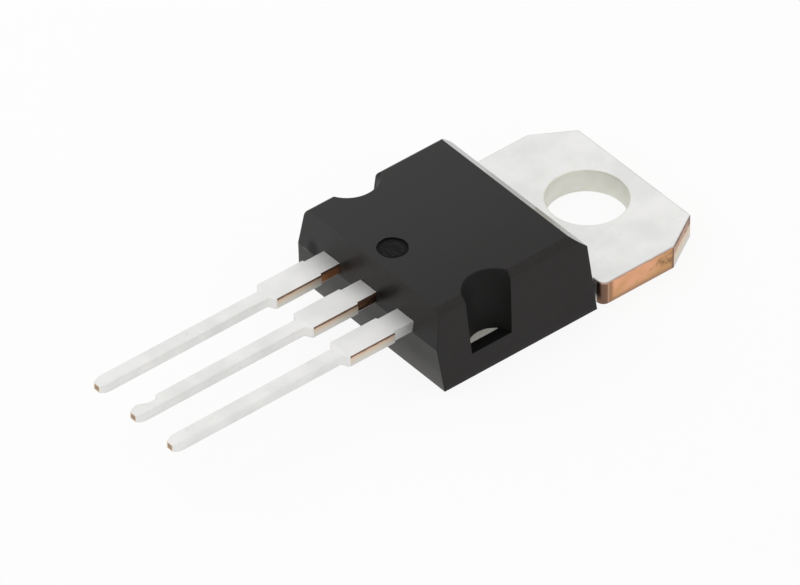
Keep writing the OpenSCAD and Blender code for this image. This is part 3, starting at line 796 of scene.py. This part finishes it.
def body_ring(z, inset=0.0, notched=True):
    """Outline of the body at one height, from the middle of the front round to the same place.

    The right half runs along the front, round a corner arc, up the side to the notch, round the
    notch's arc, up the side again and round the rear corner. The left half mirrors it. Every
    ring has the same count of points. Without the notch its stretch lies on the side's line.
    The whole outline stands back by the inset.
    """
    half, front, rear = body_half_width(z) - inset, body_front(z) + inset, body_rear(z) - inset
    corner = max(CORNER_RADIUS - inset, LEAST_CORNER)
    radius = notch_radius(z) + inset
    reach = math.acos(np.clip((NOTCH_X - half) / radius, -1, 1))
    bow = arc((NOTCH_X, NOTCH_Y), radius, np.pi + reach, np.pi - reach, BOW_POINTS)
    if not notched:
        span = radius * math.sin(reach)
        bow = np.c_[np.full(BOW_POINTS, half), NOTCH_Y + np.linspace(-span, span, BOW_POINTS)]
    front_corner = arc((half - corner, front + corner), corner, -np.pi / 2, 0, CORNER_POINTS)
    rear_corner = arc((half - corner, rear - corner), corner, 0, np.pi / 2, CORNER_POINTS)
    right = np.concatenate([
        even_line((0, front), front_corner[0], END_POINTS), front_corner[:-1],
        even_line(front_corner[-1], bow[0], SIDE_POINTS), bow[:-1],
        even_line(bow[-1], rear_corner[0], REAR_SIDE_POINTS), rear_corner[:-1],
        even_line(rear_corner[-1], (0, rear), END_POINTS)])
    ring = np.concatenate([right, [(0, rear)], right[:0:-1] * (-1, 1)])
    return np.c_[ring, np.full(len(ring), z)]


def body_shell():
    """Rings from the foot to the top, joined by quads, with one flat face over each end.

    The foot's and the top's edges are rounded, and two rings CREASE apart keep each crease sharp.
    The bevel's rings lie at heights that spread evenly along its curve.
    """
    knee, ledge = BODY_TOP - BEVEL_DOWN, BODY_TOP - REAR_CHAMFER_DOWN
    swing = np.sin(np.linspace(0, np.pi / 2, BEVEL_ROWS)[1:-1]) ** (2 / BEVEL_POWER)
    bevel = knee + BEVEL_DOWN * swing
    below = [*LOWER_ROWS, NOTCH_FLOOR - NOTCH_LEDGE, NOTCH_FLOOR]
    above = [*np.linspace(NOTCH_FLOOR, PARTING - CREASE, NOTCH_ROWS), PARTING, PARTING + CREASE,
             *UPPER_ROWS, ledge - CREASE, ledge, ledge + CREASE, CHAMFER_ROW, knee - CREASE, knee,
             *bevel[bevel < BODY_TOP - EDGE_RADIUS - HAIR]]
    rings = [body_ring(BODY_SEAT + up, inset, False) for up, inset in zip(*quarter(FOOT_EDGE))]
    rings += [body_ring(z, notched=False) for z in below] + [body_ring(z) for z in above]
    rings += [body_ring(BODY_TOP - down, inset) for inset, down in zip(*quarter(EDGE_RADIUS))]
    points, around = np.concatenate(rings), len(rings[0])
    return points, close_ends(points, loop_faces(len(rings), around, closed=False), around)


def body_face_kinds(points, faces):
    """Finish of each face of the body, from where its middle lies."""
    middle = np.array([points[list(face)].mean(axis=0) for face in faces])
    x, y, z = np.abs(middle[:, 0]), middle[:, 1], middle[:, 2]
    half = body_half_width(z)
    below_top = z < BODY_TOP - EDGE_RADIUS - HAIR
    side = below_top & (x > half - NEAR_WALL)
    inner = below_top & (x < half - NEAR_WALL)
    from_notch = np.hypot(x - NOTCH_X, y - NOTCH_Y)
    notch = (from_notch < notch_radius(z) + NEAR_WALL) & (x < half - CREASE)
    rear = inner & (y > body_rear(z) - NEAR_WALL)
    front = inner & (y < body_front(z) + NEAR_WALL)
    kinds = np.full(len(faces), MOULDED)
    kinds[side] = SIDE
    kinds[side & (z > BODY_TOP - BEVEL_DOWN)] = BEVEL
    kinds[notch & (z > NOTCH_FLOOR) & (z < BODY_TOP - CREASE)] = NOTCH_WALL
    kinds[notch & (np.abs(z - NOTCH_FLOOR) < LEVEL)] = NOTCH_BOTTOM
    kinds[rear & (z > BODY_TOP - REAR_CHAMFER_DOWN)] = REAR_CHAMFER
    kinds[front & (z < PARTING)] = LOWER_FRONT
    return kinds


def blot(add, centre, size, tilt):
    """How far a point lies outside an ellipsoid: 0 deep inside, 1 outside.

    The ellipsoid's X axis is tilted upwards by the angle.
    """
    within = add("Mapping", {"vector_type": "TEXTURE"}, Vector=add("TexCoord").outputs["Object"],
                 Location=[v * MM for v in centre], Rotation=(0, -tilt, 0),
                 Scale=[v * MM for v in size]).outputs[0]
    distance = add("VectorMath", {"operation": "LENGTH"}, i0=within).outputs["Value"]
    return add("MapRange", Value=distance, **{"From Min": BLOT_CORE, "From Max": 1}).outputs[0]


def mould_compound(name, dark, light, roughness, gloss, fades=(), blots=()):
    """Near-black epoxy: satin, with fine grain in colour, roughness and relief.

    Each of the fades is an axis, a stretch of it over which the colour changes from another one
    to this, and the other colour. Each of the blots is an ellipsoid's centre, half sizes and
    tilt, with a colour.
    """
    material, shader, add = surface_material(name, {"IOR": 1.5, "Specular IOR Level": gloss})
    grain = noise(add, size=0.05, detail=3)
    colour = blend_colours(add, grain, dark, light, low=0.3, high=0.75)
    place = add("SeparateXYZ", Vector=add("TexCoord").outputs["Object"])
    for axis, other_end, this_end, other in fades:
        share = add("MapRange", Value=place.outputs[axis],
                    **{"From Min": other_end * MM, "From Max": this_end * MM}).outputs[0]
        colour = blend_colours(add, share, other, colour)
    for centre, size, tilt, other in blots:
        colour = blend_colours(add, blot(add, centre, size, tilt), other, colour)
    patches = noise(add, size=1.1, detail=4)
    pits = noise(add, size=0.06, detail=4, roughness=0.6)
    lay_on(shader, add, colour, roughness=(patches, roughness, roughness + ROUGHNESS_SPREAD),
           relief=(pits, 0.35, 0.006))
    return material


def torn_compound():
    """The ejector pin's rough mark: brown-black, streaked and pitted, with a darker rim."""
    material, shader, add = surface_material(
        "torn_compound", {"IOR": 1.5, "Specular IOR Level": 0.15, "Roughness": 0.7})
    streaks = noise(add, size=0.16, detail=3, stretch=(0.45, 1.6, 1))
    colour = blend_colours(add, streaks, MARK_AND_SHADE_DARK, TORN_LIGHT, low=0.50, high=0.68)
    centre = tuple(v * MM for v in (0, MARK_Y, BODY_TOP - MARK_DEPTH))
    rim_start, rim_full = MARK_RADIUS - MARK_RIM, MARK_RADIUS - MARK_RIM / 2
    from_centre = add("VectorMath", {"operation": "DISTANCE"}, i1=centre,
                      i0=add("TexCoord").outputs["Object"]).outputs["Value"]
    # The rim is painted darker: a painted shade in the mark's groove.
    colour = blend_colours(add, from_centre, colour, MARK_AND_SHADE_DARK,
                           low=rim_start * MM, high=rim_full * MM)
    lay_on(shader, add, colour, relief=(streaks, 0.8, 0.02))
    return material


def mark_cutter():
    """A disc whose lower face is the mark's floor.

    Rings of points at even steps of the radius. The rim is a circle with waves of a given share
    of its radius, count and phase. Towards it the floor goes down to the full depth as a groove.
    Further in it stands higher, with streaks that are a sum of sines of given height, turns
    along X and Y, and phase.
    """
    turn = np.linspace(0, 2 * np.pi, MARK_POINTS, endpoint=False)
    share = np.linspace(0, 1, MARK_RINGS + 1)[1:, None]
    rim = MARK_RADIUS * (1 + sum(size * np.sin(count * turn + phase)
                                 for size, count, phase in RIM_WAVES))
    x, y = share * rim * np.cos(turn), share * rim * np.sin(turn)
    streaks = sum(height * np.sin(along_x * x + along_y * y + phase)
                  for height, along_x, along_y, phase in STREAK_WAVES)
    plateau = np.clip((GROOVE_START - share) / GROOVE_SLOPE, 0, 1)
    depth = MARK_DEPTH - plateau * (MARK_RISE + streaks)
    floor_rings = np.stack([x, y + MARK_Y, BODY_TOP - depth], axis=-1).reshape(-1, 3)
    lid = np.c_[x[-1], y[-1] + MARK_Y, np.full(len(turn), BODY_TOP + CUT_ABOVE)]
    points = np.concatenate([floor_rings, lid, [(0, MARK_Y, BODY_TOP - MARK_DEPTH + MARK_RISE)]])
    k = np.arange(len(turn))
    hub = np.stack([(k + 1) % len(turn), k, np.full(len(turn), len(points) - 1)], axis=-1)
    walls = loop_faces(len(share) + 1, len(turn), closed=False)
    return points, [*walls, *hub, len(share) * len(turn) + k]


def carve(piece, cutter, sharp_angle):
    """Takes the cutter's volume out of the piece for good, with the cutter's finish on the cut."""
    cut = piece.modifiers.new("cut", "BOOLEAN")
    cut.operation, cut.solver, cut.object = "DIFFERENCE", "EXACT", cutter
    cut.material_mode = "TRANSFER"
    depsgraph = bpy.context.evaluated_depsgraph_get()
    carved = bpy.data.meshes.new_from_object(
        piece.evaluated_get(depsgraph), preserve_all_data_layers=True, depsgraph=depsgraph)
    piece.modifiers.clear()
    piece.data = carved
    carved.set_sharp_from_angle(angle=math.radians(sharp_angle))
    bpy.data.objects.remove(cutter)


# These fades paint the top and the upper front darker towards +X and paler towards -X: painted
# shade and painted light.
UPPER_FADES = (("X", 4.8, -1.0, UPPER_SHADE), ("X", -5.0, 0.0, UPPER_PALE))
# These fades paint the lower front paler towards the foot, a painted reflection of the floor, and
# darker just under the parting line, a painted shadow.
LOWER_FADES = (("Z", 0.1, 1.6, FOOT_COLOUR), ("Z", PARTING, PARTING - 0.1, MARK_AND_SHADE_DARK))
body_points, body_faces = body_shell()
body_finishes = [
    mould_compound("mould_compound", UPPER_DARK, UPPER_LIGHT, roughness=0.36, gloss=0.2,
                   fades=UPPER_FADES, blots=FRONT_BLOTS),
    # The notch's walls and floor get darker copies of the compound: painted shade in the recess.
    mould_compound("notch_compound", NOTCH_DARK, NOTCH_LIGHT, roughness=0.5, gloss=0.12),
    mould_compound("notch_bottom", MARK_AND_SHADE_DARK, NOTCH_LIGHT, roughness=0.6, gloss=0.06),
    # The rear chamfer's compound is several times lighter: a painted reflection of the white
    # surround.
    mould_compound("chamfer_compound", CHAMFER_DARK, CHAMFER_LIGHT, roughness=0.06, gloss=1.0),
    # The sides get a darker copy of the compound: painted shade.
    mould_compound("side_compound", SIDE_DARK, SIDE_LIGHT, roughness=0.38, gloss=0.2),
    # The lower front gets a lighter copy of the compound: a painted reflection of the floor.
    mould_compound("lower_compound", LOWER_DARK, LOWER_LIGHT, roughness=0.36, gloss=0.2,
                   fades=LOWER_FADES, blots=FRONT_BLOTS),
    # A slightly darker copy of the compound for the side bevels: painted shade.
    mould_compound("bevel_compound", BEVEL_DARK, BEVEL_LIGHT, roughness=0.36, gloss=0.2),
]
body = make_piece("moulded_package", body_points, body_faces, body_finishes,
                  body_face_kinds(body_points, body_faces), BODY_SHARP_ANGLE)
cutter_points, cutter_faces = mark_cutter()
cutter = make_piece("mark_cutter", cutter_points, cutter_faces, [torn_compound()],
                    np.zeros(len(cutter_faces)))
carve(body, cutter, BODY_SHARP_ANGLE)
flatten_faces(body)
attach(body, "root")
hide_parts("moulded_body")


# Chip, solder and bond wires: sealed in the moulding, and carried over from the CAD model as they
# are. Each gets a finish of its own for whoever opens the part up.
SILICON_DARK, SILICON_LIGHT = (0.10, 0.12, 0.15, 1), (0.16, 0.18, 0.21, 1)
SOLDER_DARK, SOLDER_LIGHT = (0.34, 0.35, 0.37, 1), (0.46, 0.47, 0.49, 1)
WIRE_DARK, WIRE_LIGHT = (0.56, 0.57, 0.58, 1), (0.66, 0.67, 0.68, 1)
INNER_SPREAD = 0.15


def inner_metal(name, dark, light, roughness, stretch=(1, 1, 1)):
    """Metal mottled by noise, with a stretch above 1 across the way it was sawn or drawn."""
    material, shader, add = surface_material(name, {"Metallic": 1.0})
    mottling = noise(add, size=0.3, detail=4, stretch=stretch)
    colour = blend_colours(add, mottling, dark, light, low=0.35, high=0.65)
    lay_on(shader, add, colour, roughness=(mottling, roughness, roughness + INNER_SPREAD))
    return material


wire = inner_metal("wire", WIRE_DARK, WIRE_LIGHT, roughness=0.35, stretch=(8, 1, 1))
inner_finishes = {
    "silicon_die": inner_metal("silicon", SILICON_DARK, SILICON_LIGHT, roughness=0.3,
                               stretch=(1, 8, 1)),
    "die_solder": inner_metal("soft_solder", SOLDER_DARK, SOLDER_LIGHT, roughness=0.5),
    "source_wire_1": wire, "source_wire_2": wire, "gate_wire": wire,
}
for node, finish in inner_finishes.items():
    for material_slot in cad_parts[node].material_slots:
        material_slot.link = "OBJECT"
        material_slot.material = finish
